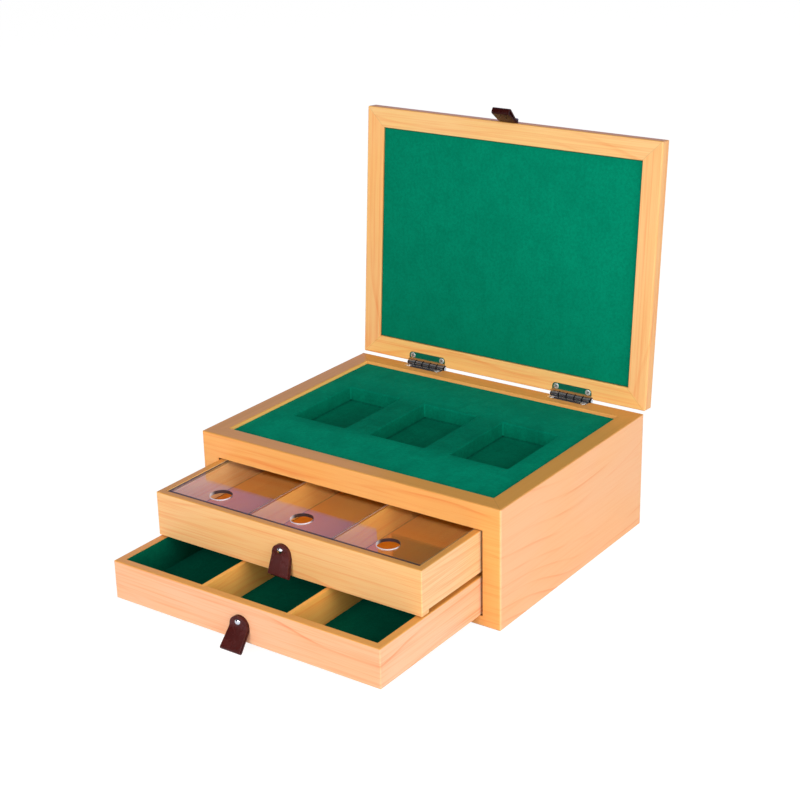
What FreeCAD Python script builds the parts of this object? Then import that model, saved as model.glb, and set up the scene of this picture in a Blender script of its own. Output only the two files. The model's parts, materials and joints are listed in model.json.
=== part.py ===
import FreeCAD, Part
import math
import os

# Coin display box: a mitred wooden case with a velvet tray under a hinged lid, and two drawers below it.
# Sizes are in millimetres. +X is to the right, -Y is the front and +Z is up.
# The origin is the middle of the case's underside.
# The lid is modelled shut and the drawers pushed in, and then each is moved to where it stands.

# Case
CASE_WIDTH = 320.0
CASE_DEPTH = 249.0
CASE_HEIGHT = 112.0
BOARD = 18.0
CASE_CORNER_ROUND = 2.0
CASE_TOP_ROUND = 1.5
CASE_BOTTOM_ROUND = 3.0
RIM_INNER_ROUND = 1.0
BOTTOM_RAIL = 10.0
TOP_RAIL = 23.0
OPENING_EASE = 0.8

# Panels let into grooves in the boards, the thick ones by a tongue round their edge
PANEL_GROOVE = 5.0
PANEL_CLEARANCE = 0.1
TONGUE_THICKNESS = 4.0
DUST_PANEL = 3.0
TRAY_FLOOR = 4.0
TRAY_FLOOR_STEP = 0.5

# Display tray
TRAY_RECESS = 3.0
VELVET = 1.0
POCKET_COUNT = 3
POCKET_WIDTH = 60.0
POCKET_LENGTH = 89.0
POCKET_PITCH = 87.0
POCKET_RIM_ROUND = 0.8

# Lid
LID_GAP = 0.6
LID_THICKNESS = 13.5
LID_MEMBER = 19.2
LID_OUTER_ROUND = 3.0
LID_CLOSING_ROUND = 1.5
LID_INNER_ROUND = 1.0
LID_LINING_RECESS = 2.0
LID_OPEN_ANGLE = 94.1

# Stop hinges
HINGE_SPACING = 165.0
HINGE_BACKSET = 1.3
LEAF_LENGTH = 42.0
LEAF_REACH = 11.0
LEAF_THICKNESS = 1.2
LEAF_CORNER_ROUND = 3.0
LEAF_FIT = 0.05
KNUCKLE_COUNT = 5
KNUCKLE_RADIUS = 2.6
KNUCKLE_GAP = 0.3
STOP_GAP = 0.05
HINGE_HOLLOW_CLEARANCE = 1.1
PIN_RADIUS = 1.25
PIN_CLEARANCE = 0.05
PIN_HEAD_RADIUS = 1.9
PIN_HEAD_LENGTH = 1.2

# What both drawers share
DRAWER_SIDE_GAP = 2.0
DRAWER_BACK_GAP = 4.0
DRAWER_RUNNING_GAP = 0.3
DRAWER_GROOVE = 3.5
DRAWER_EDGE_ROUND = 1.0
DIVIDER = 4.0
DIVIDER_HOUSING = 2.5
DIVIDER_CLEARANCE = 0.05

# Upper drawer
UPPER_OPEN = 85.0
UPPER_BOARD = 9.5
UPPER_FRONT_GAP = 1.1
UPPER_HEADROOM = 0.6
UPPER_FLOOR = 4.0
UPPER_FLOOR_LIP = 4.4
COVER = 3.0
COVER_RECESS = 1.0
COVER_LEDGE = 3.0
COVER_GAP = 0.5
COVER_JOINT = 0.4
FINGER_HOLE = 20.0
FINGER_HOLE_SETBACK = 20.5

# Lower drawer
LOWER_OPEN = 142.5
LOWER_HEIGHT = 35.6
LOWER_BOARD = 7.2
LOWER_HEADROOM = 1.4
LOWER_FLOOR = 3.0
LOWER_FLOOR_LIP = 2.0
FLOOR_FELT = 1.0
WALL_FELT = 0.8
FELT_FIT = 0.05

# Leather pulls: each is a strap folded back on itself and held by one screw
LEATHER = 1.6
LEATHER_LAYER_GAP = 0.15
PULL_TOP_WIDTH = 18.4
PULL_ABOVE_SCREW = 5.2
PULL_CLOSE_BELOW_SCREW = 5.2
PULL_BEND_RADIUS = 3.0
PULL_TIP_RADIUS = 1.2
PULL_CLOSE_RADIUS = 6.0
PULL_SCREW_RADIUS = 1.5
PULL_SCREW_BITE = 5.0
PULL_SCREW_HEAD_RADIUS = 2.85
PULL_SCREW_HEAD = 1.7
PULL_SCREW_CLEARANCE = 0.05

# Where each pull's screw, back bend and tip corners lie: out from the board's face and up from its lower edge
LID_PULL_TIP_WIDTH = 18.4
LID_PULL_SCREW_UP = 5.5
LID_PULL_BEND_UP = 0.7
LID_PULL_TIPS = ((10.2, -13.9), (14.5, -11.6))
UPPER_PULL_TIP_WIDTH = 21.4
UPPER_PULL_SCREW_UP = 23.0
UPPER_PULL_BEND_UP = 16.0
UPPER_PULL_TIPS = ((5.6, 0.5), (8.0, 1.6))
LOWER_PULL_TIP_WIDTH = 20.6
LOWER_PULL_SCREW_UP = 19.2
LOWER_PULL_BEND_UP = 12.2
LOWER_PULL_TIPS = ((13.2, -3.0), (15.4, -1.0))

# Planes worked out from the sizes above
SIDE_X = CASE_WIDTH / 2
FRONT_Y = -CASE_DEPTH / 2
BACK_Y = CASE_DEPTH / 2
INNER_X = SIDE_X - BOARD
INNER_FRONT_Y = FRONT_Y + BOARD
INNER_BACK_Y = BACK_Y - BOARD
OPENING_TOP = CASE_HEIGHT - TOP_RAIL
LOWER_BOTTOM_Z = BOTTOM_RAIL + DRAWER_RUNNING_GAP
LOWER_TOP_Z = LOWER_BOTTOM_Z + LOWER_HEIGHT
DUST_BOTTOM_Z = LOWER_TOP_Z + LOWER_HEADROOM
DUST_TOP_Z = DUST_BOTTOM_Z + DUST_PANEL
UPPER_SIDE_Z = DUST_TOP_Z + DRAWER_RUNNING_GAP
UPPER_FRONT_Z = LOWER_TOP_Z + UPPER_FRONT_GAP
UPPER_TOP_Z = OPENING_TOP - UPPER_HEADROOM
TRAY_FLOOR_Z = OPENING_TOP + TRAY_FLOOR_STEP
TRAY_CORE_Z = TRAY_FLOOR_Z + TRAY_FLOOR
TRAY_TOP_Z = CASE_HEIGHT - TRAY_RECESS
DRAWER_X = INNER_X - DRAWER_SIDE_GAP
DRAWER_BACK_Y = INNER_BACK_Y - DRAWER_BACK_GAP
LID_BOTTOM_Z = CASE_HEIGHT + LID_GAP
LID_TOP_Z = LID_BOTTOM_Z + LID_THICKNESS
HINGE_Y = BACK_Y + HINGE_BACKSET
HINGE_Z = CASE_HEIGHT + LID_GAP / 2
SLOT_EDGE_Y = HINGE_Y - KNUCKLE_RADIUS - KNUCKLE_GAP
KNUCKLE_PITCH = (LEAF_LENGTH + KNUCKLE_GAP) / KNUCKLE_COUNT
KNUCKLE_LENGTH = KNUCKLE_PITCH - KNUCKLE_GAP
PULL_THICKNESS = 2 * LEATHER + LEATHER_LAYER_GAP

# How far a cutting shape runs past what it cuts, and how near two places count as one
PAST = 5.0
SAME = 0.01

ACROSS = FreeCAD.Vector(1, 0, 0)
FORWARD = FreeCAD.Vector(0, -1, 0)
UP = FreeCAD.Vector(0, 0, 1)
DOWN = FreeCAD.Vector(0, 0, -1)
HINGE_POINT = FreeCAD.Vector(0, HINGE_Y, HINGE_Z)


def block(x0, x1, y0, y1, z0, z1):
    return Part.makeBox(x1 - x0, y1 - y0, z1 - z0, FreeCAD.Vector(x0, y0, z0))


def rounded(shape, radius, axis, chosen):
    """Round the straight edges along one axis whose middle passes the test."""
    edges = []
    for edge in shape.Edges:
        bounds = edge.BoundBox
        spans = {"x": bounds.XLength, "y": bounds.YLength, "z": bounds.ZLength}
        if near(spans[axis], edge.Length) and chosen(bounds.Center):
            edges.append(edge)
    if radius <= 0 or not edges:
        return shape
    return shape.makeFillet(radius, edges)


def near(value, target):
    return abs(value - target) < SAME


def eased_block(x0, x1, y0, y1, z0, z1, corner, low, high):
    """A block with rounded upright corners, lower edges and upper edges, the rounds mitred where they meet."""
    plain = block(x0, x1, y0, y1, z0, z1)
    plan = rounded(plain, corner, "z", lambda middle: True)
    for axis in ("x", "y"):
        bar = rounded(plain, low, axis, lambda middle: near(middle.z, z0))
        bar = rounded(bar, high, axis, lambda middle: near(middle.z, z1))
        plan = plan.common(bar)
    return plan


def mitred(ring, x0, x1, y0, y1, z0, z1, width):
    """Cut a four-sided ring into boards that meet at 45 degrees in the corners."""
    corners = {
        "front": ((x0, y0), (x1, y0), (x1 - width, y0 + width), (x0 + width, y0 + width)),
        "back": ((x0, y1), (x1, y1), (x1 - width, y1 - width), (x0 + width, y1 - width)),
        "left": ((x0, y0), (x0 + width, y0 + width), (x0 + width, y1 - width), (x0, y1)),
        "right": ((x1, y0), (x1 - width, y0 + width), (x1 - width, y1 - width), (x1, y1)),
    }
    boards = {}
    for side, outline in corners.items():
        points = [FreeCAD.Vector(x, y, z0) for x, y in outline]
        wedge = Part.Face(Part.makePolygon(points + points[:1])).extrude(UP * (z1 - z0))
        boards[side] = ring.common(wedge)
    return boards


def turned(outline, base, direction):
    """Turn an outline of (radius, height) points about a line from the base in this direction."""
    points = [FreeCAD.Vector(radius, 0, height) for radius, height in outline]
    face = Part.Face(Part.makePolygon(points + points[:1]))
    solid = face.revolve(FreeCAD.Vector(0, 0, 0), UP, 360)
    solid.Placement = FreeCAD.Placement(base, FreeCAD.Rotation(UP, direction))
    return solid


def groove_for(limits, clearance, front_too):
    """The groove that holds a panel: a little past its edges and its top, and past its front where asked."""
    x0, x1, y0, y1, z0, z1 = limits
    front = y0 - clearance if front_too else y0
    return block(x0 - clearance, x1 + clearance, front, y1 + clearance, z0, z1 + clearance)


def tongued_panel(inner_x, inner_y, z0, z1):
    """A panel that fills a frame, and the limits of the tongue half way up its edges."""
    low = (z0 + z1 - TONGUE_THICKNESS) / 2
    reach = PANEL_GROOVE - PANEL_CLEARANCE
    tongue = (-inner_x - reach, inner_x + reach, -inner_y - reach, inner_y + reach, low, low + TONGUE_THICKNESS)
    field_x = inner_x - PANEL_CLEARANCE
    field_y = inner_y - PANEL_CLEARANCE
    return block(-field_x, field_x, -field_y, field_y, z0, z1).fuse(block(*tongue)), tongue


def case_parts():
    """Four mitred boards, the front one with the drawers' opening, a tongued bottom and two thin panels."""
    outer = (-SIDE_X, SIDE_X, FRONT_Y, BACK_Y, 0, CASE_HEIGHT)
    ring = eased_block(*outer, CASE_CORNER_ROUND, CASE_BOTTOM_ROUND, CASE_TOP_ROUND)
    ring = ring.cut(block(-INNER_X, INNER_X, INNER_FRONT_Y, INNER_BACK_Y, -PAST, CASE_HEIGHT + PAST))
    for axis in ("x", "y"):
        ring = rounded(ring, RIM_INNER_ROUND, axis, on_inner_rim)
    bottom, tongue = tongued_panel(INNER_X, INNER_BACK_Y, 0, BOTTOM_RAIL)
    ring = ring.cut(groove_for(tongue, PANEL_CLEARANCE, True))
    boards = mitred(ring, *outer, BOARD)
    panels = {
        "dust_panel": panel_limits(DUST_BOTTOM_Z, DUST_TOP_Z),
        "tray_floor": panel_limits(TRAY_FLOOR_Z, TRAY_CORE_Z),
    }
    nodes = {"case_bottom": bottom}
    for name, limits in panels.items():
        nodes[name] = block(*limits)
        for side in ("left", "right", "back"):
            boards[side] = boards[side].cut(groove_for(limits, PANEL_CLEARANCE, False))
    opening = block(-INNER_X, INNER_X, FRONT_Y - PAST, INNER_FRONT_Y + PAST, BOTTOM_RAIL, OPENING_TOP)
    boards["front"] = boards["front"].cut(opening)
    for axis in ("x", "z"):
        boards["front"] = rounded(boards["front"], OPENING_EASE, axis, on_opening_edge)
    for hinge_x in hinge_places():
        boards["back"] = boards["back"].cut(hinge_hollow(hinge_x))
        boards["back"] = boards["back"].cut(leaf_plate(hinge_x, DOWN, LEAF_FIT))
    for side, shape in boards.items():
        nodes["case_" + side] = shape
    return nodes


def on_inner_rim(middle):
    inside = abs(middle.x) < INNER_X + SAME and INNER_FRONT_Y - SAME < middle.y < INNER_BACK_Y + SAME
    return inside and near(middle.z, CASE_HEIGHT)


def on_opening_edge(middle):
    inside = abs(middle.x) < INNER_X + SAME and BOTTOM_RAIL - SAME < middle.z < OPENING_TOP + SAME
    return inside and near(middle.y, FRONT_Y)


def panel_limits(z0, z1):
    reach = PANEL_GROOVE - PANEL_CLEARANCE
    return (-INNER_X - reach, INNER_X + reach, INNER_FRONT_Y, INNER_BACK_Y + reach, z0, z1)


def pocket_centres():
    first = -POCKET_PITCH * (POCKET_COUNT - 1) / 2
    return [first + POCKET_PITCH * index for index in range(POCKET_COUNT)]


def pocket(centre_x, margin, z0, z1):
    """The space of one tray pocket, or with a margin the hole in the board round its velvet."""
    half_width = POCKET_WIDTH / 2 + margin
    half_length = POCKET_LENGTH / 2 + margin
    return block(centre_x - half_width, centre_x + half_width, -half_length, half_length, z0, z1)


def tray_parts():
    """A pocketed board, and the velvet that covers it and lines its pockets."""
    inside = (-INNER_X, INNER_X, INNER_FRONT_Y, INNER_BACK_Y)
    core = block(*inside, TRAY_CORE_Z, TRAY_TOP_Z - VELVET)
    velvet = block(*inside, TRAY_TOP_Z - VELVET, TRAY_TOP_Z)
    for centre_x in pocket_centres():
        hole = pocket(centre_x, VELVET, TRAY_CORE_Z, TRAY_TOP_Z)
        core = core.cut(hole)
        velvet = velvet.fuse(hole)
    for centre_x in pocket_centres():
        velvet = velvet.cut(pocket(centre_x, 0, TRAY_CORE_Z + VELVET, TRAY_TOP_Z + PAST))
    velvet = velvet.removeSplitter()
    rims = []
    for edge in velvet.Edges:
        bounds = edge.BoundBox
        on_top = near(bounds.ZMin, TRAY_TOP_Z) and near(bounds.ZMax, TRAY_TOP_Z)
        if on_top and abs(bounds.Center.y) < POCKET_LENGTH / 2 + SAME:
            rims.append(edge)
    rims = [edge for edge in rims if abs(edge.BoundBox.Center.x) < INNER_X - VELVET]
    velvet = velvet.makeFillet(POCKET_RIM_ROUND, rims)
    return {"tray_core": core, "tray_lining": velvet}


def hinge_places():
    return (-HINGE_SPACING / 2, HINGE_SPACING / 2)


def hinge_hollow(hinge_x):
    """The round hollow in the boards that the knuckles turn in, as long as the pin with its heads."""
    length = LEAF_LENGTH + 2 * (PIN_HEAD_LENGTH + 2 * KNUCKLE_GAP)
    start = FreeCAD.Vector(hinge_x - length / 2, HINGE_Y, HINGE_Z)
    return Part.makeCylinder(KNUCKLE_RADIUS + HINGE_HOLLOW_CLEARANCE, length, start, ACROSS)


def leaf_plate(hinge_x, side, fit):
    """One leaf's flat plate, below the axis for the case or above it for the lid, let in flush."""
    face = HINGE_Z + side.z * LID_GAP / 2
    root = face + side.z * (LEAF_THICKNESS + fit)
    half = LEAF_LENGTH / 2 + fit
    front = HINGE_Y - LEAF_REACH - fit
    plate = block(hinge_x - half, hinge_x + half, front, HINGE_Y, min(face, root), max(face, root))
    return rounded(plate, LEAF_CORNER_ROUND + fit, "z", lambda middle: near(middle.y, front))


def knuckle_start(hinge_x, index):
    return hinge_x - LEAF_LENGTH / 2 + index * KNUCKLE_PITCH


def hinge_leaf(hinge_x, side):
    """A leaf: its plate notched for the other leaf's knuckles, with its own knuckles and their bore."""
    own = 0 if side.z < 0 else 1
    leaf = leaf_plate(hinge_x, side, 0)
    for index in range(1 - own, KNUCKLE_COUNT, 2):
        start = knuckle_start(hinge_x, index)
        end = start + KNUCKLE_LENGTH
        notch = block(start - KNUCKLE_GAP, end + KNUCKLE_GAP, SLOT_EDGE_Y, HINGE_Y + PAST,
                      HINGE_Z - PAST, HINGE_Z + PAST)
        leaf = leaf.cut(notch)
    for index in range(own, KNUCKLE_COUNT, 2):
        start = FreeCAD.Vector(knuckle_start(hinge_x, index), HINGE_Y, HINGE_Z)
        leaf = leaf.fuse(Part.makeCylinder(KNUCKLE_RADIUS, KNUCKLE_LENGTH, start, ACROSS))
        if side.z > 0:
            leaf = leaf.fuse(stop_lug(start.x))
    bore_start = FreeCAD.Vector(hinge_x - LEAF_LENGTH, HINGE_Y, HINGE_Z)
    leaf = leaf.cut(Part.makeCylinder(PIN_RADIUS + PIN_CLEARANCE, 2 * LEAF_LENGTH, bore_start, ACROSS))
    return leaf.removeSplitter()


def stop_lug(start_x):
    """The lug on a lid knuckle. With the lid open it stands against the edge of the case leaf's notch."""
    lug = block(start_x, start_x + KNUCKLE_LENGTH, SLOT_EDGE_Y + STOP_GAP, HINGE_Y,
                HINGE_Z - LID_GAP / 2 - LEAF_THICKNESS, HINGE_Z - LID_GAP / 2)
    lug.rotate(HINGE_POINT, ACROSS, LID_OPEN_ANGLE)
    return lug


def hinge_pin(hinge_x):
    """A pin with a flat round head at each end."""
    half = LEAF_LENGTH / 2 + PIN_CLEARANCE
    end = half + PIN_HEAD_LENGTH
    outline = [
        (0, -end),
        (PIN_HEAD_RADIUS, -end),
        (PIN_HEAD_RADIUS, -half),
        (PIN_RADIUS, -half),
        (PIN_RADIUS, half),
        (PIN_HEAD_RADIUS, half),
        (PIN_HEAD_RADIUS, end),
        (0, end),
    ]
    return turned(outline, FreeCAD.Vector(hinge_x, HINGE_Y, HINGE_Z), ACROSS)


def hinge_parts(side):
    """Both hinges' leaves on one side, and with the case's side their pins."""
    nodes = {}
    owner = "case" if side.z < 0 else "lid"
    for name, hinge_x in zip(("left", "right"), hinge_places()):
        nodes[name + "_hinge_" + owner + "_leaf"] = hinge_leaf(hinge_x, side)
        if owner == "case":
            nodes[name + "_hinge_pin"] = hinge_pin(hinge_x)
    return nodes


def on_lid_inner_edge(middle):
    inside = abs(middle.x) < SIDE_X - LID_MEMBER + SAME and abs(middle.y) < BACK_Y - LID_MEMBER + SAME
    return inside and near(middle.z, LID_BOTTOM_Z)


def lid_parts():
    """A mitred frame round a tongued panel, with velvet on the panel's inside face."""
    outer = (-SIDE_X, SIDE_X, FRONT_Y, BACK_Y, LID_BOTTOM_Z, LID_TOP_Z)
    inner_x = SIDE_X - LID_MEMBER
    inner_y = BACK_Y - LID_MEMBER
    panel_z = LID_BOTTOM_Z + LID_LINING_RECESS + VELVET
    ring = eased_block(*outer, CASE_CORNER_ROUND, LID_CLOSING_ROUND, LID_OUTER_ROUND)
    ring = ring.cut(block(-inner_x, inner_x, -inner_y, inner_y, LID_BOTTOM_Z - PAST, LID_TOP_Z + PAST))
    for axis in ("x", "y"):
        ring = rounded(ring, LID_INNER_ROUND, axis, on_lid_inner_edge)
    panel, tongue = tongued_panel(inner_x, inner_y, panel_z, LID_TOP_Z)
    ring = ring.cut(groove_for(tongue, PANEL_CLEARANCE, True))
    members = mitred(ring, *outer, LID_MEMBER)
    for hinge_x in hinge_places():
        members["back"] = members["back"].cut(hinge_hollow(hinge_x))
        members["back"] = members["back"].cut(leaf_plate(hinge_x, UP, LEAF_FIT))
    field_x = inner_x - PANEL_CLEARANCE
    field_y = inner_y - PANEL_CLEARANCE
    nodes = {
        "lid_front_rail": members["front"],
        "lid_back_rail": members["back"],
        "lid_left_stile": members["left"],
        "lid_right_stile": members["right"],
        "lid_panel": panel,
        "lid_lining": block(-field_x, field_x, -field_y, field_y, panel_z - VELVET, panel_z),
    }
    nodes.update(hinge_parts(UP))
    fit_pull(nodes, "lid", "lid_front_rail", LID_BOTTOM_Z, LID_PULL_SCREW_UP, LID_PULL_BEND_UP, LID_PULL_TIPS,
             LID_PULL_TIP_WIDTH)
    return nodes


def strap_side(points, radii, offset):
    """One side of a strap in side view: tangent lines and arcs at this offset left of its middle line."""
    runs = []
    for start, end in zip(points, points[1:]):
        length = math.dist(start, end)
        runs.append(((end[0] - start[0]) / length, (end[1] - start[1]) / length))
    pieces = []
    here = (points[0][0] - runs[0][1] * offset, points[0][1] + runs[0][0] * offset)
    for index, radius in enumerate(radii):
        (ax, ay), (bx, by) = runs[index], runs[index + 1]
        turn = math.atan2(ax * by - ay * bx, ax * bx + ay * by)
        left = math.copysign(1, turn)
        share = offset / (1 + ax * bx + ay * by)
        corner = (points[index + 1][0] - (ay + by) * share, points[index + 1][1] + (ax + bx) * share)
        bend = radius - left * offset
        reach = bend * math.tan(abs(turn) / 2)
        first = (corner[0] - ax * reach, corner[1] - ay * reach)
        last = (corner[0] + bx * reach, corner[1] + by * reach)
        centre = (first[0] - ay * left * bend, first[1] + ax * left * bend)
        outward = math.dist(centre, corner)
        middle = (centre[0] + (corner[0] - centre[0]) * bend / outward,
                  centre[1] + (corner[1] - centre[1]) * bend / outward)
        pieces.append((here, first))
        pieces.append((first, middle, last))
        here = last
    end = (points[-1][0] - runs[-1][1] * offset, points[-1][1] + runs[-1][0] * offset)
    pieces.append((here, end))
    return pieces


def strap(points, radii, thickness, half_width, face_y):
    """A strap along a path of (out, up) points, bent by the radii, in front of a face."""
    left = strap_side(points, radii, thickness / 2)
    right = strap_side(points, radii, -thickness / 2)
    back = [tuple(reversed(piece)) for piece in reversed(right)]
    outline = left + [(left[-1][-1], back[0][0])] + back + [(back[-1][-1], left[0][0])]
    edges = []
    for piece in outline:
        at = [FreeCAD.Vector(-half_width, face_y - out, up) for out, up in piece]
        edge = Part.Arc(*at) if len(at) == 3 else Part.LineSegment(*at)
        edges.append(edge.toShape())
    return Part.Face(Part.Wire(edges)).extrude(ACROSS * (2 * half_width))


def pull_outline(top_z, low_z, tip_width, face_y, depth):
    """A pull seen from the front: a round top, and sides that spread a little to the tip."""
    top = PULL_TOP_WIDTH / 2
    tip = tip_width / 2
    centre_z = top_z - top
    corner = [FreeCAD.Vector(x, face_y, z) for x, z in
              ((-tip, low_z), (-top, centre_z), (0, top_z), (top, centre_z), (tip, low_z))]
    edges = [
        Part.LineSegment(corner[0], corner[1]).toShape(),
        Part.Arc(corner[1], corner[2], corner[3]).toShape(),
        Part.LineSegment(corner[3], corner[4]).toShape(),
        Part.LineSegment(corner[4], corner[0]).toShape(),
    ]
    return Part.Face(Part.Wire(edges)).extrude(FORWARD * depth)


def fit_pull(nodes, owner, board, low_z, screw_up, bend_up, tips, tip_width):
    """Add a leather pull and its screw to a board's front face, and drill the board for the screw."""
    screw_z = low_z + screw_up
    top_z = screw_z + PULL_ABOVE_SCREW
    close_z = screw_z - PULL_CLOSE_BELOW_SCREW
    back_out = LEATHER / 2
    front_out = back_out + LEATHER + LEATHER_LAYER_GAP
    tip_points = [(out, low_z + up) for out, up in tips]
    points = [(back_out, top_z), (back_out, low_z + bend_up)] + tip_points
    points += [(front_out, close_z), (front_out, top_z)]
    radii = [PULL_BEND_RADIUS] + [PULL_TIP_RADIUS] * len(tips) + [PULL_CLOSE_RADIUS]
    leather = strap(points, radii, LEATHER, tip_width, FRONT_Y)
    lowest = leather.BoundBox.ZMin
    leather = leather.common(pull_outline(top_z, lowest, tip_width, FRONT_Y, leather.BoundBox.YLength))
    seat = FreeCAD.Vector(0, FRONT_Y - PULL_THICKNESS, screw_z)
    depth = PULL_THICKNESS + PULL_SCREW_BITE
    hole = Part.makeCylinder(PULL_SCREW_RADIUS + PULL_SCREW_CLEARANCE, depth + PULL_SCREW_CLEARANCE, seat,
                             FORWARD * -1)
    outline = [
        (0, -depth),
        (PULL_SCREW_RADIUS, -depth),
        (PULL_SCREW_RADIUS, 0),
        (PULL_SCREW_HEAD_RADIUS, 0),
        (PULL_SCREW_HEAD_RADIUS, PULL_SCREW_HEAD),
        (0, PULL_SCREW_HEAD),
    ]
    nodes[owner + "_loop"] = leather.cut(hole)
    nodes[owner + "_loop_screw"] = turned(outline, seat, FORWARD)
    nodes[board] = nodes[board].cut(hole)


def drawer_walls(prefix, z0, z1, board):
    """A drawer's four mitred walls, pushed in, as nodes."""
    outer = (-DRAWER_X, DRAWER_X, FRONT_Y, DRAWER_BACK_Y, z0, z1)
    ring = eased_block(*outer, DRAWER_EDGE_ROUND, DRAWER_EDGE_ROUND, DRAWER_EDGE_ROUND)
    ring = ring.cut(block(board - DRAWER_X, DRAWER_X - board, FRONT_Y + board, DRAWER_BACK_Y - board,
                          z0 - PAST, z1 + PAST))
    walls = mitred(ring, *outer, board)
    return {
        prefix + "_front": walls["front"],
        prefix + "_back": walls["back"],
        prefix + "_left_side": walls["left"],
        prefix + "_right_side": walls["right"],
    }


def drawer_floor(nodes, prefix, board, floor_z, thickness):
    """A floor panel in grooves in all four walls."""
    reach = DRAWER_GROOVE - PANEL_CLEARANCE
    inner_x = DRAWER_X - board
    limits = (-inner_x - reach, inner_x + reach, FRONT_Y + board - reach, DRAWER_BACK_Y - board + reach,
              floor_z, floor_z + thickness)
    for wall in ("_front", "_back", "_left_side", "_right_side"):
        nodes[prefix + wall] = nodes[prefix + wall].cut(groove_for(limits, PANEL_CLEARANCE, True))
    nodes[prefix + "_bottom"] = block(*limits)


def divider_centre(board):
    """How far right of the middle the right-hand divider stands, for three equal compartments."""
    inner_width = 2 * (DRAWER_X - board)
    compartment = (inner_width - 2 * DIVIDER) / 3
    return (compartment + DIVIDER) / 2


def drawer_dividers(nodes, prefix, board, z0, z1):
    """Two thin partitions housed in the front and back walls."""
    reach = DIVIDER_HOUSING - DIVIDER_CLEARANCE
    for name, sign in (("_divider_left", -1), ("_divider_right", 1)):
        middle = sign * divider_centre(board)
        half = DIVIDER / 2
        y0 = FRONT_Y + board
        y1 = DRAWER_BACK_Y - board
        nodes[prefix + name] = block(middle - half, middle + half, y0 - reach, y1 + reach, z0, z1)
        slack = half + DIVIDER_CLEARANCE
        housing = block(middle - slack, middle + slack, y0 - DIVIDER_HOUSING, y1 + DIVIDER_HOUSING, z0, z1 + PAST)
        for wall in ("_front", "_back"):
            nodes[prefix + wall] = nodes[prefix + wall].cut(housing)


def moved_out(nodes, distance):
    """Pull a drawer out by this distance."""
    for shape in nodes.values():
        shape.translate(FORWARD * distance)
    return nodes


def hanging_lip():
    """The part of the upper front that hangs below the sides: full width, and square at its ends."""
    whole = eased_block(-DRAWER_X, DRAWER_X, FRONT_Y, DRAWER_BACK_Y, UPPER_FRONT_Z, UPPER_TOP_Z,
                        DRAWER_EDGE_ROUND, DRAWER_EDGE_ROUND, DRAWER_EDGE_ROUND)
    return whole.common(block(-DRAWER_X, DRAWER_X, FRONT_Y, FRONT_Y + UPPER_BOARD, UPPER_FRONT_Z, UPPER_SIDE_Z))


def upper_drawer_parts():
    """The covered drawer: walls with a rebate, a bare floor, two dividers and three clear covers."""
    nodes = drawer_walls("upper", UPPER_FRONT_Z, UPPER_TOP_Z, UPPER_BOARD)
    below_sides = block(-SIDE_X, SIDE_X, FRONT_Y, DRAWER_BACK_Y + PAST, UPPER_FRONT_Z - PAST, UPPER_SIDE_Z)
    for wall in ("upper_back", "upper_left_side", "upper_right_side"):
        nodes[wall] = nodes[wall].cut(below_sides)
    nodes["upper_front"] = nodes["upper_front"].fuse(hanging_lip()).removeSplitter()
    floor_z = UPPER_SIDE_Z + UPPER_FLOOR_LIP
    drawer_floor(nodes, "upper", UPPER_BOARD, floor_z, UPPER_FLOOR)
    cover_z = UPPER_TOP_Z - COVER_RECESS - COVER
    drawer_dividers(nodes, "upper", UPPER_BOARD, floor_z + UPPER_FLOOR, cover_z)
    rim = UPPER_BOARD - COVER_LEDGE - COVER_GAP
    rebate = block(rim - DRAWER_X, DRAWER_X - rim, FRONT_Y + rim, DRAWER_BACK_Y - rim, cover_z, UPPER_TOP_Z + PAST)
    for wall in ("upper_front", "upper_back", "upper_left_side", "upper_right_side"):
        nodes[wall] = nodes[wall].cut(rebate)
    edge = DRAWER_X - rim - COVER_GAP
    joint = divider_centre(UPPER_BOARD)
    half_joint = COVER_JOINT / 2
    spans = {
        "cover_left": (-edge, -joint - half_joint),
        "cover_middle": (-joint + half_joint, joint - half_joint),
        "cover_right": (joint + half_joint, edge),
    }
    front = FRONT_Y + rim + COVER_GAP
    for name, (x0, x1) in spans.items():
        sheet = block(x0, x1, front, DRAWER_BACK_Y - rim - COVER_GAP, cover_z, cover_z + COVER)
        centre = FreeCAD.Vector((x0 + x1) / 2, front + FINGER_HOLE_SETBACK, cover_z - PAST)
        nodes[name] = sheet.cut(Part.makeCylinder(FINGER_HOLE / 2, COVER + 2 * PAST, centre, UP))
    fit_pull(nodes, "upper", "upper_front", UPPER_FRONT_Z, UPPER_PULL_SCREW_UP, UPPER_PULL_BEND_UP,
             UPPER_PULL_TIPS, UPPER_PULL_TIP_WIDTH)
    return moved_out(nodes, UPPER_OPEN)


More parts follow.
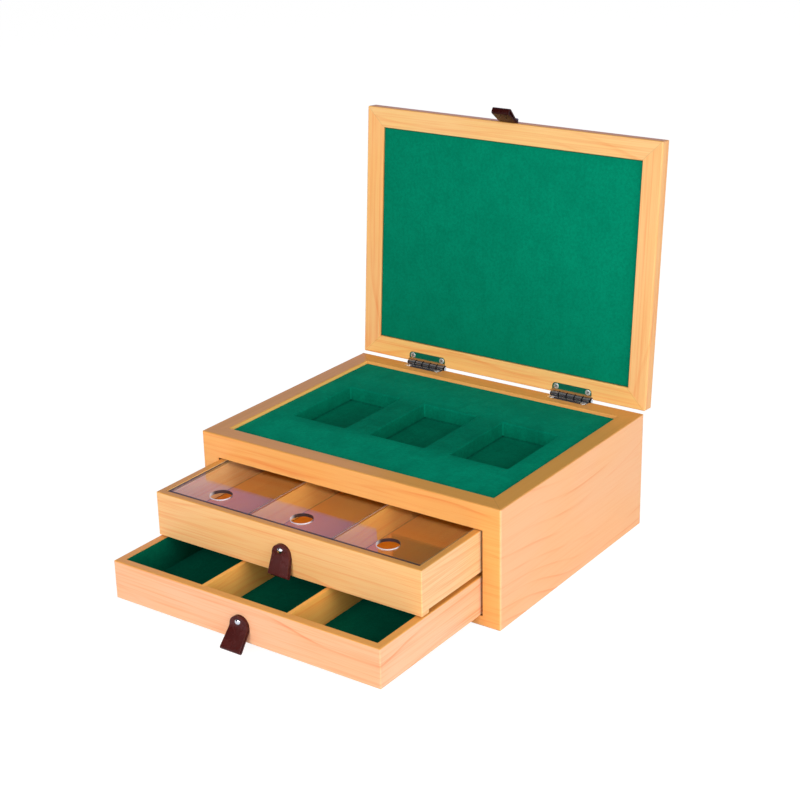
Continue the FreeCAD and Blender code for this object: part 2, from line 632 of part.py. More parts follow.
def lower_drawer_parts():
    """The open drawer: walls, floor, two dividers, and felt on its floor and round its walls."""
    nodes = drawer_walls("lower", LOWER_BOTTOM_Z, LOWER_TOP_Z, LOWER_BOARD)
    floor_z = LOWER_BOTTOM_Z + LOWER_FLOOR_LIP
    drawer_floor(nodes, "lower", LOWER_BOARD, floor_z, LOWER_FLOOR)
    felt_z = floor_z + LOWER_FLOOR
    divider_top = LOWER_TOP_Z - DRAWER_EDGE_ROUND / 2
    drawer_dividers(nodes, "lower", LOWER_BOARD, felt_z, divider_top)
    inner_x = DRAWER_X - LOWER_BOARD
    y0 = FRONT_Y + LOWER_BOARD
    y1 = DRAWER_BACK_Y - LOWER_BOARD
    wall_felt = block(-inner_x, inner_x, y0, y1, felt_z, divider_top)
    wall_felt = wall_felt.cut(block(WALL_FELT - inner_x, inner_x - WALL_FELT, y0 + WALL_FELT, y1 - WALL_FELT,
                                    felt_z - PAST, divider_top + PAST))
    floor_felt = block(WALL_FELT - inner_x, inner_x - WALL_FELT, y0 + WALL_FELT, y1 - WALL_FELT,
                       felt_z, felt_z + FLOOR_FELT)
    for sign in (-1, 1):
        middle = sign * divider_centre(LOWER_BOARD)
        slack = DIVIDER / 2 + FELT_FIT
        room = block(middle - slack, middle + slack, y0 - PAST, y1 + PAST, felt_z - PAST, LOWER_TOP_Z + PAST)
        wall_felt = wall_felt.cut(room)
        floor_felt = floor_felt.cut(room)
    nodes["lower_wall_lining"] = wall_felt
    nodes["lower_floor_lining"] = floor_felt
    fit_pull(nodes, "lower", "lower_front", LOWER_BOTTOM_Z, LOWER_PULL_SCREW_UP, LOWER_PULL_BEND_UP,
             LOWER_PULL_TIPS, LOWER_PULL_TIP_WIDTH)
    return moved_out(nodes, LOWER_OPEN)


def opened_lid(nodes):
    """Turn the lid about its hinge pins to where its stop lugs meet the case leaves."""
    for shape in nodes.values():
        shape.rotate(HINGE_POINT, ACROSS, -LID_OPEN_ANGLE)
    return nodes


all_nodes = {}
all_nodes.update(case_parts())
all_nodes.update(tray_parts())
all_nodes.update(hinge_parts(DOWN))
all_nodes.update(opened_lid(lid_parts()))
all_nodes.update(upper_drawer_parts())
all_nodes.update(lower_drawer_parts())

os.makedirs("parts", exist_ok=True)
for node_name, node_shape in all_nodes.items():
    node_shape.exportStep("parts/" + node_name + ".step")
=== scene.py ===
"""Looks of the coin display box: woods, velvet, felt, leather pulls, screws and clear covers."""
import json
import math

import bmesh
import bpy
from mathutils import Matrix, Vector


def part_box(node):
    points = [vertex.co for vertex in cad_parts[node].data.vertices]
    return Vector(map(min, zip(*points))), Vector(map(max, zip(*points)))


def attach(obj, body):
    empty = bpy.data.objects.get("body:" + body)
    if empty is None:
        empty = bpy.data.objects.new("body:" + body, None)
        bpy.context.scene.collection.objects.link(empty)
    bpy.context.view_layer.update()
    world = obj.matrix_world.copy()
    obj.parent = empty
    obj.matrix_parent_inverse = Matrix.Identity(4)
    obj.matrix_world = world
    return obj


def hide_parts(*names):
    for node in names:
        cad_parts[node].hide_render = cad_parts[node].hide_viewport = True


bl_info = {
    "name": "Coin display box",
    "version": (1, 0, 0),
    "blender": (4, 5, 0),
    "location": "View3D > Sidebar > Coin Box",
    "description": "Dresses the packed coin display box: wood, velvet, leather, metal and acrylic",
    "category": "Object",
}

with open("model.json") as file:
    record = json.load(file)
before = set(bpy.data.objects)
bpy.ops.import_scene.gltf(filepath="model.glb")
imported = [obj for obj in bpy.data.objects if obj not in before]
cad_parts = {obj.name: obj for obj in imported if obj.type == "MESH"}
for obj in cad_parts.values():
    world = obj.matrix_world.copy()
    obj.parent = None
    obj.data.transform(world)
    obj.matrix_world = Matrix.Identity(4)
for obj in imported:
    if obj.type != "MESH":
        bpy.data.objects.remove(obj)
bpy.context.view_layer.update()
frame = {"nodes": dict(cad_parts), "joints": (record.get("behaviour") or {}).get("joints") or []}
NODES = frame["nodes"]

# The lid's hinge, how the grain is turned along a board, in degrees, and what opens the lid
ALONG_X = (0, 0, 0)
ALONG_Y = (0, 0, -90)
HINGE = next(joint for joint in frame["joints"] if joint["name"] == "lid_hinge")
LID_OPEN = HINGE["range_deg"][1]
HINGE_AT = Vector(HINGE["pos_m"])
LID_CROSS = (LID_OPEN - 180, 0, 0)
LID_RISE = (LID_OPEN - 180, 0, -90)
LID_TURN = (Matrix.Translation(HINGE_AT) @ Matrix.Rotation(math.radians(-LID_OPEN), 4, "X")
            @ Matrix.Translation(-HINGE_AT))

# Sizes and places in metres
VELVET = 0.001
VELVET_TURNED_DOWN = 0.004
POCKET_CENTRES = (-0.087, 0.0, 0.087)
POCKET_HALF_WIDTH = 0.030
POCKET_HALF_LENGTH = 0.0445
HINGE_X = 0.0825
KNUCKLE_PITCH = 0.00846
LEAF_RECESS_END = 0.0215
CASE_LEAF_REACH = (0.1148, 0.1230)
LID_LEAF_REACH = (0.12325, 0.1120)
HINGE_SCREW_ASIDE = 0.0171
HINGE_SCREW_Y = 0.1182
HINGE_SCREW_PROUD = 0.00018
HINGE_CROSS_BELOW = 0.00012
CASE_RIM_Z = 0.1120
LID_GAP = 0.0006
PULL_SCREW_SHANK = 0.0015
COVER_PITCH = 0.08893
COVER_JOINT = (0.0440, 0.0444)
FINGER_HOLE_Y = -0.1825
FINGER_HOLE_RADIUS = 0.010
GROWTH_LINE = 0.0012
TOUCHING = 1e-5

# How many flat sides stand for the round of a screw
SCREW_SIDES = 32

# Where the photograph was taken from, in metres, and how the camera was held, in degrees
CAMERA_AT = (0.8173, -1.1823, 0.6920)
CAMERA_HEADING = 35.514
CAMERA_LOOKS_DOWN = 21.212
CAMERA_ROLL = -1.252

# Where the lamps aim, and the share of the room's white that falls on the object
LAMPS_AIM_AT = Vector((0, 0, 0.12))
ROOM_LIGHT = 0.30

GOLDEN_WOOD = (1.0, 0.54, 0.15)


# Shader maths

class Number:
    """A number inside a material; sums on it add Math nodes."""

    def __init__(self, finish, socket):
        self.finish = finish
        self.socket = socket

    def sum(self, operation, first, second):
        node = self.finish.node("Math", {"operation": operation}, (first, second))
        return Number(self.finish, node.outputs[0])

    def __add__(self, other):
        return self.sum("ADD", self, other)

    def __radd__(self, other):
        return self.sum("ADD", other, self)

    def __sub__(self, other):
        return self.sum("SUBTRACT", self, other)

    def __rsub__(self, other):
        return self.sum("SUBTRACT", other, self)

    def __mul__(self, other):
        return self.sum("MULTIPLY", self, other)

    def __truediv__(self, other):
        return self.sum("DIVIDE", self, other)

    def __pow__(self, other):
        return self.sum("POWER", self, other)


class Finish:
    """A material being built, one node at a time."""

    def __init__(self, name, tree=None):
        if tree is None:
            self.material = bpy.data.materials.new(name)
            self.material.use_nodes = True
            tree = self.material.node_tree
        self.tree = tree
        tree.nodes.clear()

    def node(self, kind, settings=None, sockets=()):
        """Adds a node: its settings first, then the values or links of its sockets."""
        node = self.tree.nodes.new("ShaderNode" + kind)
        for name, value in (settings or {}).items():
            setattr(node, name, value)
        named = sockets.items() if isinstance(sockets, dict) else enumerate(sockets)
        for name, value in named:
            if isinstance(name, str):
                socket = next(s for s in node.inputs if s.name == name and s.enabled)
            else:
                socket = node.inputs[name]
            if isinstance(value, Number):
                value = value.socket
            if isinstance(value, bpy.types.NodeSocket):
                self.tree.links.new(value, socket)
            else:
                socket.default_value = value
        return node

    def place(self, turn=(0, 0, 0), shift=(0, 0, 0)):
        """The piece's own coordinates, turned in degrees, then shifted."""
        here = self.node("TexCoord").outputs["Object"]
        turned = self.node("Mapping", {"vector_type": "POINT"}, {
            "Vector": here, "Rotation": [math.radians(a) for a in turn], "Location": shift})
        return turned.outputs[0]

    def stretch(self, vector, scale, shift=(0, 0, 0)):
        """A vector scaled along its axes, then shifted."""
        node = self.node("Mapping", {"vector_type": "POINT"},
                         {"Vector": vector, "Scale": scale, "Location": shift})
        return node.outputs[0]

    def noise(self, vector, scale, detail=2.0, rough=0.5, twist=0.0):
        node = self.node("TexNoise", {"noise_dimensions": "3D"}, {
            "Vector": vector, "Scale": scale, "Detail": detail, "Roughness": rough,
            "Distortion": twist})
        return Number(self, node.outputs[0])

    def between(self, value, low, high):
        """Maps low..high smoothly to 0..1, and holds it there outside."""
        node = self.node("MapRange", {"interpolation_type": "SMOOTHSTEP"}, {
            "Value": value, "From Min": low, "From Max": high})
        return Number(self, node.outputs[0])

    def split(self, vector):
        node = self.node("SeparateXYZ", {}, (vector,))
        return [Number(self, socket) for socket in node.outputs]

    def mix(self, share, first, second, blend="MIX"):
        """A colour between two others."""
        node = self.node("Mix", {"data_type": "RGBA", "blend_type": blend},
                         {"Factor": share, "A": rgba(first), "B": rgba(second)})
        return next(s for s in node.outputs if s.enabled)

    def size(self, value):
        """A number without its sign."""
        return Number(self, self.node("Math", {"operation": "ABSOLUTE"}, (value,)).outputs[0])

    def nearest(self, value, pitch):
        """How far a number is from the nearest whole number of pitches."""
        node = self.node("Math", {"operation": "PINGPONG"}, (value, pitch / 2))
        return Number(self, node.outputs[0])

    def bump(self, height, distance, strength=1.0):
        node = self.node("Bump", {}, {"Height": height, "Distance": distance, "Strength": strength})
        return node.outputs[0]

    def surface(self, **sockets):
        named = {name.replace("_", " "): value for name, value in sockets.items()}
        shader = self.node("BsdfPrincipled", {}, named)
        self.show(shader.outputs[0])
        return self.material

    def show(self, shader):
        self.node("OutputMaterial", {}, {"Surface": shader})


def rgba(colour):
    """A colour with its alpha, or the socket that gives one."""
    if isinstance(colour, bpy.types.NodeSocket):
        return colour
    return (*colour[:3], 1.0)


def tinted(colour, shares):
    """A colour times one share, or times one share for each of red, green and blue."""
    if isinstance(shares, float):
        shares = (shares, shares, shares)
    return [part * share for part, share in zip(colour, shares)]


# Materials

def wood(name, tint, line, turn, shift=(0, 0, 0), seed=0.0, spacing=0.010, figure=0.4,
         streaks=0.25, sway=0.10, marks=None, rim=None, corner=None, inner=None):
    """Pale satin wood: thin wavy growth lines along the grain, fine fibres and warm patches.

    rim is the axis, level and tint of the board's narrow top edge, darkened as painted shade,
    corner is where along the grain its rounded corner is, given a paler painted highlight, and
    inner is the axis, reach and tint of the golden faces inside the box. marks is a function of
    the finish that gives the share of dark brown: on glue lines, and as painted shade in the
    drawer opening, along the feet of walls and round the hinge leaves.
    """
    f = Finish(name)
    here = f.place(turn, shift)
    slow = f.stretch(here, (0.42, 1.0, 1.0), (seed, seed * 0.7, seed * 0.3))
    parts = f.split(here)
    bend = f.noise(slow, 8.0, 1.5, 0.45) - 0.5
    rings = (parts[2] + parts[1] * 0.6 + bend * sway) / spacing
    step = Number(f, f.node("Math", {"operation": "FRACT"}, (rings,)).outputs[0])
    thin = GROWTH_LINE / spacing
    edge = f.between(step, 1.0 - 2.6 * thin, 1.0 - 0.8 * thin) * (
        1.0 - f.between(step, 1.0 - 0.6 * thin, 1.0))
    soft = f.between(step, 0.25, 0.97) * (1.0 - f.between(step, 0.975, 1.0))
    faded = f.between(f.noise(slow, 19.0, 2.0), 0.42, 0.62)
    fibre = f.noise(f.stretch(here, (7.0, 380.0, 380.0), (seed, 0, 0)), 1.0, 3.0, 0.6)
    hair = f.noise(f.stretch(here, (9.0, 760.0, 760.0), (0, 0, seed)), 1.0, 2.0, 0.6)
    cloud = f.noise(f.stretch(here, (0.5, 1.0, 1.0), (seed, 0, seed)), 17.0, 2.0)
    colour = f.mix(f.between(cloud, 0.36, 0.66) * 0.55, tint, (1.0, 0.955, 0.80), "MULTIPLY")
    colour = f.mix((edge * 0.85 + soft * 0.22) * (0.10 + faded * 0.90) * figure, colour, line,
                   "MULTIPLY")
    colour = f.mix(f.between(fibre, 0.48, 0.68) * streaks, colour, line, "MULTIPLY")
    colour = f.mix(f.between(hair, 0.50, 0.66) * streaks, colour, line, "MULTIPLY")
    if inner:
        axis, reach, golden = inner
        depth = f.size(f.split(f.place())[axis])
        colour = f.mix(1.0 - f.between(depth, reach + 0.0002, reach + 0.0005), colour, golden)
    # painted highlight: a paler line down the board's rounded corner
    if corner:
        wear_and_highlight = 1.0 - f.between(f.size(parts[0] - corner), 0.0004, 0.0015)
        colour = f.mix(wear_and_highlight * 0.25, colour, (1.0, 0.74, 0.50))
    # painted shade: the narrow top edges get a darker, browner tint
    if rim:
        axis, level, rim_shade = rim
        rim_shade = f.mix(f.between(fibre, 0.4, 0.75) * 0.3, rim_shade, tinted(rim_shade, 0.8))
        colour = f.mix(f.between(parts[axis], level - 0.0009, level - 0.0003), colour, rim_shade)
    # Dark brown: glue lines, and painted shade in the drawer opening, along the feet of walls and
    # round the hinge leaves
    if marks:
        colour = f.mix(marks(f), colour, (0.09, 0.022, 0.008))
    return f.surface(
        Base_Color=colour,
        Roughness=0.33 + f.between(fibre, 0.3, 0.8) * 0.08,
        Normal=f.bump(fibre * 0.6 + hair * 0.3, 0.00005),
        Specular_IOR_Level=0.38,
    )


def near_line(f, value, at, reach):
    """1 just above a value, such as along the foot of a wall, and 0 further than reach."""
    far = f.between(value, at + reach * 0.4, at + reach)
    return f.between(value, at - 0.0001, at) * (1.0 - far)


def wall_foot_shade(f):
    """Painted shade: a dark line on the upper drawer's floor, where each wall and divider stands on
    it.
    """
    across, along, _ = f.split(f.place())
    share = near_line(f, along * -1.0, -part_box("upper_front")[1].y - 0.0002, 0.0012)
    for wall in ("upper_left_side", "upper_divider_left", "upper_divider_right"):
        share = share + near_line(f, across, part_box(wall)[1].x, 0.0013)
    return share * 0.75


def mitres(f, front_board, back_board, axis=1):
    """Marks the fine glue lines across the four corners of a mitred frame.

    The frame lies across the x axis and the given one, between its front and back boards.
    """
    front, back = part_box(front_board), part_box(back_board)
    low = [min(pair) for pair in zip(front[0], back[0])]
    high = [max(pair) for pair in zip(front[1], back[1])]
    parts = f.split(f.place())
    inward = high[0] - f.size(parts[0])
    middle, half = (low[axis] + high[axis]) / 2, (high[axis] - low[axis]) / 2
    off = f.size(inward - (half - f.size(parts[axis] - middle)))
    return (1.0 - f.between(off, 0.0001, 0.0005)) * f.between(inward, 0.0004, 0.0012) * 0.20


def opening_shade(f):
    """Marks the faces of the drawer opening behind the front for painted shade, dark red-brown, as
    in the deep gap round the drawers.
    """
    _, along, height = f.split(f.place())
    low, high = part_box("case_front")
    behind = f.between(along, low.y + 0.0005, low.y + 0.0012)
    return behind * (1.0 - f.between(height, high.z - 0.008, high.z - 0.006)) * 0.75


def leaf_edge_shade(f, axis, front, inner, face):
    """Marks a thin line of painted shade round the two hinge leaves let into a board.

    They run from front to inner along the axis. face is the axis and level of the board's face
    that they lie in, and which way it looks, 1 or -1.
    """
    parts = f.split(f.place())
    across = f.size(f.size(parts[0]) - HINGE_X)
    ahead = (parts[axis] - front) * (1.0 if inner > front else -1.0)
    past_end = f.between(across, LEAF_RECESS_END - 0.0035, LEAF_RECESS_END) ** 2.0 * 0.0034
    start = f.between(ahead - past_end, -0.0004, -0.0001)
    stop = 1.0 - f.between(ahead, abs(inner - front) - 0.0002, abs(inner - front))
    side, level, way = face
    near = f.between(parts[side] * way, level * way - 0.005, level * way - 0.004)
    beyond = f.between(across, LEAF_RECESS_END - 0.0003, LEAF_RECESS_END)
    return start * stop * near * (1.0 - beyond) * 0.85


def velvet(name, tint, shade, pile=0.85, shade_and_highlight=None):
    """Short velvet: a nap brushed in soft patches and faint strokes, with fine pile.

    The last argument is a function of the finish and colour that adds painted shade and highlights,
    such as along creases and tucked edges.
    """
    f = Finish(name)
    here = f.place()
    brushed = f.noise(here, 48.0, 3.0, 0.6, 0.6)
    patches = f.noise(here, 12.0, 2.0, 0.5, 0.3)
    strokes = f.noise(f.stretch(here, (160.0, 22.0, 14.0)), 1.0, 2.0, 0.5)
    tufts = f.noise(here, 1500.0, 2.0, 0.6)
    mottle = f.noise(here, 360.0, 4.0, 0.65)
    worn = f.between(brushed, 0.34, 0.68) * 0.55 + f.between(patches, 0.32, 0.68) * 0.25
    colour = f.mix(worn + f.between(strokes, 0.45, 0.75) * 0.30, tint, shade)
    colour = f.mix(f.between(tufts, 0.35, 0.7) * 0.30, colour, tinted(shade, 0.6))
    colour = f.mix(f.between(mottle, 0.36, 0.66) * 0.30, colour, tinted(shade, 0.55))
    # painted shade and highlights, where a function for them is given
    if shade_and_highlight:
        colour = shade_and_highlight(f, colour)
    return f.surface(
        Base_Color=colour,
        Roughness=pile + f.between(brushed, 0.3, 0.7) * 0.1,
        Normal=f.bump(tufts + brushed * 0.6, 0.00025, 0.5),
        Sheen_Weight=0.10,
        Sheen_Roughness=0.5,
        Sheen_Tint=(0.0, 0.75, 0.5, 1.0),
        Specular_IOR_Level=0.03,
    )


def pocket_shade_and_highlights(f, colour):
    """Painted shade and highlights on the tray velvet: darker round and inside the pockets,
    dark crease lines round their floors and paler lines down their corners.
    """
    wide, long, height = f.split(f.place())
    across, along = f.nearest(wide, POCKET_CENTRES[2]), f.size(long)
    low_corner, high_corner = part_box("tray_lining")
    floor, top = low_corner.z + VELVET, high_corner.z
    low = 1.0 - f.between(height, floor + 0.0008, floor + 0.0022)
    inside = 1.0 - f.between(across, POCKET_HALF_WIDTH, POCKET_HALF_WIDTH + 0.002)
    inside = inside * (1.0 - f.between(along, POCKET_HALF_LENGTH, POCKET_HALF_LENGTH + 0.002))
    ring = f.between(across, POCKET_HALF_WIDTH - 0.0018, POCKET_HALF_WIDTH - 0.0004)
    ring = ring + f.between(along, POCKET_HALF_LENGTH - 0.0018, POCKET_HALF_LENGTH - 0.0004)
    corner = f.between(across, POCKET_HALF_WIDTH - 0.0016, POCKET_HALF_WIDTH - 0.0004)
    corner = corner * f.between(along, POCKET_HALF_LENGTH - 0.0016, POCKET_HALF_LENGTH - 0.0004)
    walls = 1.0 - f.between(height, top - 0.002, top - 0.0006)
    near = 1.0 - f.between(along, POCKET_HALF_LENGTH - 0.012, POCKET_HALF_LENGTH + 0.018)
    near = near * (1.0 - f.between(f.size(wide), 0.098, 0.134))
    # painted shade: darker round the pockets than at the tray's edges
    colour = f.mix(near, colour, (0.62, 0.70, 0.68), "MULTIPLY")
    # painted shade down the pocket walls and floors
    colour = f.mix(inside * walls * 0.30, colour, (0.45, 0.62, 0.55), "MULTIPLY")
    # painted shade: dark crease lines round the pocket floors
    colour = f.mix(ring * low * inside * 0.35, colour, (0.0, 0.03, 0.02))
    # painted highlight: paler lines down the pocket corners
    return f.mix(corner * walls * (1.0 - low) * inside * 0.35, colour, (0.0, 0.30, 0.18))


def velvet_edge_shadow(f, colour):
    """Painted shadow: a dark line round the lid's velvet, where it is tucked down against the frame.
    """
    across, _, height = f.split(f.place())
    low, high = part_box("lid_lining")
    middle, half = (low.z + high.z) / 2, (high.z - low.z) / 2
    edge = f.between(f.size(across), high.x - 0.0012, high.x - 0.0004)
    edge = edge + f.between(f.size(height - middle), half - 0.0012, half - 0.0004)
    # painted shadow along the velvet's edges
    return f.mix(edge * 0.6, colour, (0.03, 0.02, 0.01))


def leather(name, tint, worn, shine):
    """Oiled red-brown leather: pebbled grain, darker creases and lighter worn patches."""
    f = Finish(name)
    here = f.place()
    cells = f.node("TexVoronoi", {"feature": "DISTANCE_TO_EDGE"},
                   {"Vector": here, "Scale": 900.0}).outputs["Distance"]
    pebble = f.between(Number(f, cells), 0.0, 0.12)
    wear_and_highlight = f.noise(here, 120.0, 3.0, 0.6)
    colour = f.mix(f.between(wear_and_highlight, 0.45, 0.78) * 0.5, tint, worn)
    colour = f.mix((1.0 - pebble) * 0.30, colour, tinted(tint, 0.45))
    return f.surface(
        Base_Color=colour,
        Roughness=0.18 + f.between(wear_and_highlight, 0.3, 0.7) * 0.14,
        Normal=f.bump(pebble + wear_and_highlight * 0.5, 0.0001, 0.6),
        Specular_IOR_Level=shine,
    )


def knuckle_joints(f):
    """Marks the joints between the hinge knuckles and their ends for painted shade, which also dims
    the lamps' glints there.
    """
    across, along, height = f.split(f.place())
    across = f.size(f.size(across) - HINGE_X)
    off_joint = f.nearest(across + KNUCKLE_PITCH / 2, KNUCKLE_PITCH)
    joint = 1.0 - f.between(off_joint, 0.0004, 0.0008)
    off_axis = (along - HINGE_AT.y) ** 2.0 + (height - HINGE_AT.z) ** 2.0
    return joint * (1.0 - f.between(off_axis, 0.0033 ** 2, 0.0036 ** 2))


def plated(name, tint, smooth, joint_shade=None):
    """Nickel plate with faint rubbing marks, and painted shade where the given function marks it."""
    f = Finish(name)
    here = f.place()
    smear = f.noise(f.stretch(here, (40.0, 400.0, 400.0)), 1.0, 3.0, 0.6)
    cloud = f.noise(here, 300.0, 2.0)
    colour = f.mix(f.between(cloud, 0.3, 0.75) * 0.5, tint, tinted(tint, 0.86))
    # painted shade at the marked joints
    if joint_shade:
        colour = f.mix(joint_shade(f), colour, (0.012, 0.010, 0.010))
    return f.surface(
        Base_Color=colour,
        Metallic=1.0,
        Roughness=smooth + f.between(smear, 0.3, 0.8) * 0.08,
        Normal=f.bump(smear, 0.00002, 0.4),
    )


def acrylic(name, tint):
    """Clear cast sheet that lets the lamps through, hazed by handling, with frosted edges: a painted
    highlight on the near wall of each finger hole, painted shade on its far wall and a dark band
    of painted shade along the outer edges.
    """
    f = Finish(name)
    here = f.place()
    haze = f.noise(here, 30.0, 3.0)
    sheet = f.node("BsdfPrincipled", {}, {
        "Base Color": rgba(tint), "Transmission Weight": 1.0, "IOR": 1.49,
        "Roughness": f.between(haze, 0.45, 0.8) * 0.02})
    across, along, _ = f.split(here)
    wide = f.size(across)
    end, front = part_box("cover_right")[1].x, -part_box("upper_front")[1].y
    outer = f.between(wide, end - 0.0010, end - 0.0007) + f.between(
        along * -1.0, front - 0.0007, front - 0.0003)
    start, stop = COVER_JOINT
    joint = f.between(wide, start - 0.0001, start) * (1.0 - f.between(wide, stop, stop + 0.0001))
    aside, ahead = f.nearest(across, COVER_PITCH), along - FINGER_HOLE_Y
    hole = 1.0 - f.between(aside * aside + ahead ** 2.0, (FINGER_HOLE_RADIUS + 0.00005) ** 2,
                           (FINGER_HOLE_RADIUS + 0.0001) ** 2)
    # painted highlight on the near wall of each finger hole, painted shade on its far wall
    far_wall = f.between(along, FINGER_HOLE_Y - 0.0035, FINGER_HOLE_Y + 0.0035)
    edge_light_and_shade = f.mix(far_wall * hole, (1.0, 0.98, 1.0), (0.05, 0.022, 0.018))
    # painted shade: a dark band along the sheet's outer edges
    edge_light_and_shade = f.mix(outer, edge_light_and_shade, (0.030, 0.009, 0.010))
    frosted = f.node("BsdfPrincipled", {}, {
        "Base Color": f.mix(haze * 0.06, edge_light_and_shade, (0.5, 0.5, 0.6)), "Roughness": haze * 0.1 + 0.30,
        "Specular IOR Level": 0.15})
    edge = f.between(outer, 0.0, 1.0) * 0.85 + joint * 0.12 + hole * 0.85
    solid = f.node("MixShader", {}, (edge, sheet.outputs[0], frosted.outputs[0]))
    clear = f.node("BsdfTransparent", {}, {"Color": (0.80, 0.80, 0.80, 1.0)})
    lit = f.node("LightPath").outputs["Is Shadow Ray"]
    mixed = f.node("MixShader", {}, (lit, solid.outputs[0], clear.outputs[0]))
    f.show(mixed.outputs[0])
    return f.material


def seen_share(f):
    """1 for rays that see the backdrop in view, in a mirror or through the covers."""
    path = f.node("LightPath").outputs
    seen = Number(f, path["Is Camera Ray"]) + Number(f, path["Is Glossy Ray"])
    seen = seen + Number(f, path["Is Transmission Ray"])
    return f.node("Math", {"operation": "MINIMUM"}, (seen, 1.0)).outputs[0]


# Modelling

def put_on(piece, material):
    piece.data.materials.clear()
    piece.data.materials.append(material)


def alone(piece=None):
    """Leaves everything deselected, or one piece selected and active."""
    if bpy.context.mode != "OBJECT":
        bpy.ops.object.mode_set(mode="OBJECT")
    bpy.ops.object.select_all(action="DESELECT")
    if piece is not None:
        piece.select_set(True)
        bpy.context.view_layer.objects.active = piece


def started(name, scale=(1, 1, 1)):
    """The primitive just added, named, with its place and size put into its mesh."""
    piece = bpy.context.active_object
    piece.name = name
    piece.data.name = name
    alone(piece)
    bpy.ops.transform.resize(value=scale)
    bpy.ops.object.transform_apply(location=True, rotation=True, scale=True)
    return piece


def slab(name, low, high):
    alone()
    low, high = Vector(low), Vector(high)
    bpy.ops.mesh.primitive_cube_add(size=1, location=(low + high) / 2)
    return started(name, high - low)


def disc(name, foot, radius, depth):
    """A short round bar that stands up from a height."""
    alone()
    bpy.ops.mesh.primitive_cylinder_add(vertices=SCREW_SIDES, radius=radius, depth=depth,
                                        location=(0, 0, foot + depth / 2))
    return started(name)


def edit(piece):
    alone(piece)
    bpy.ops.object.mode_set(mode="EDIT")


def pick(kind, test):
    """Selects the faces or edges whose centre and direction pass a test."""
    bpy.ops.mesh.select_mode(type="FACE" if kind == "faces" else "EDGE")
    bpy.ops.mesh.select_all(action="DESELECT")
    mesh = bpy.context.edit_object.data
    shape = bmesh.from_edit_mesh(mesh)
    for part in getattr(shape, kind):
        if kind == "faces":
            chosen = test(part.calc_center_median(), part.normal)
        else:
            a, b = (corner.co for corner in part.verts)
            chosen = test((a + b) / 2, (b - a).normalized())
        part.select_set(bool(chosen))
    bmesh.update_edit_mesh(mesh)


def done(piece, body, slot, material, *nodes):
    """Shades a finished piece, gives it its finish and lets it ride on its body."""
    alone(piece)
    bpy.ops.object.shade_smooth_by_angle(angle=math.radians(40))
    put_on(piece, material)
    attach(piece, body)
    if nodes:
        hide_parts(*nodes)
    alone()


def node_copy(node, name):
    """A merged copy of a CAD node's mesh, as a piece of its own."""
    mesh = NODES[node].data.copy()
    piece = bpy.data.objects.new(name, mesh)
    bpy.context.scene.collection.objects.link(piece)
    mesh.name = name
    alone(piece)
    bpy.ops.mesh.customdata_custom_splitnormals_clear()
    edit(piece)
    bpy.ops.mesh.select_all(action="SELECT")
    bpy.ops.mesh.remove_doubles(threshold=0.00001)
    bpy.ops.mesh.dissolve_limited(angle_limit=math.radians(1))
    bpy.ops.object.mode_set(mode="OBJECT")
    return piece


def modifier(piece, kind, **settings):
    alone(piece)
    bpy.ops.object.modifier_add(type=kind)
    made = piece.modifiers[-1]
    for name, value in settings.items():
        setattr(made, name, value)
    bpy.ops.object.modifier_apply(modifier=made.name)


def domed_screw(name, head, rise, shank, length):
    """A domed screw whose head sits at the origin, drawn up ring by ring from its shank."""
    piece = disc(name, -length, shank, length)
    edit(piece)
    pick("faces", lambda at, up: up.z > 0.9)
    rings = [(head / shank, 0.0), (1.0, 0.0003)]
    for turn in range(1, 6):
        wide, before = (math.cos(math.radians(15 * k)) for k in (turn, turn - 1))
        up, under = (math.sin(math.radians(15 * k)) for k in (turn, turn - 1))
        rings.append((wide / before, (rise - 0.0003) * (up - under) / math.sin(math.radians(75))))
    for share, up in rings:
        bpy.ops.mesh.extrude_region_move(TRANSFORM_OT_translate={"value": (0, 0, up)})
        bpy.ops.transform.resize(value=(share, share, 1), center_override=(0, 0, 0))
    bpy.ops.object.mode_set(mode="OBJECT")
    return piece


def cross_screw(name, head, proud):
    """The flat head of a small screw lying on the ground, with a cross cut in it."""
    piece = disc(name, 0, head, proud)
    edit(piece)
    pick("edges", lambda at, way: at.z > proud * 0.9)
    bpy.ops.mesh.bevel(offset=proud * 0.5, segments=2, affect="EDGES")
    bpy.ops.object.mode_set(mode="OBJECT")
    for long, wide in ((0.7, 0.11), (0.11, 0.7)):
        cutter = slab("cross_cutter", (-head * long, -head * wide, proud * 0.2),
                      (head * long, head * wide, proud * 2))
        modifier(piece, "BOOLEAN", operation="DIFFERENCE", object=cutter, solver="EXACT")
        bpy.data.meshes.remove(cutter.data)
    return piece


def copied(piece, name, place):
    """A copy of a piece with its own mesh, put in place."""
    copy = bpy.data.objects.new(name, piece.data.copy())
    bpy.context.scene.collection.objects.link(copy)
    copy.data.name = name
    copy.matrix_world = place
    alone(copy)
    bpy.ops.object.transform_apply(location=True, rotation=True, scale=True)
    return copy


# Settings

class CoinBoxSizes(bpy.types.PropertyGroup):
    velvet_rim: bpy.props.FloatProperty(
        name="Velvet rim", description="How softly the velvet rolls over its edges",
        default=0.0008, min=0.0002, max=0.004, unit="LENGTH")
    dome: bpy.props.FloatProperty(
        name="Screw dome", description="Height of the domed heads of the pull screws",
        default=0.0017, min=0.0004, max=0.0017, unit="LENGTH")
    hinge_screw: bpy.props.FloatProperty(
        name="Hinge screw", description="Radius of the heads of the hinge screws",
        default=0.0027, min=0.001, max=0.003, unit="LENGTH")
    leather_edge: bpy.props.FloatProperty(
        name="Leather edge", description="Rounding of the edges of the leather pulls",
        default=0.00045, min=0.0001, max=0.0007, unit="LENGTH")
    lens: bpy.props.FloatProperty(
        name="Lens", description="Focal length of the camera in millimetres", default=76.22)


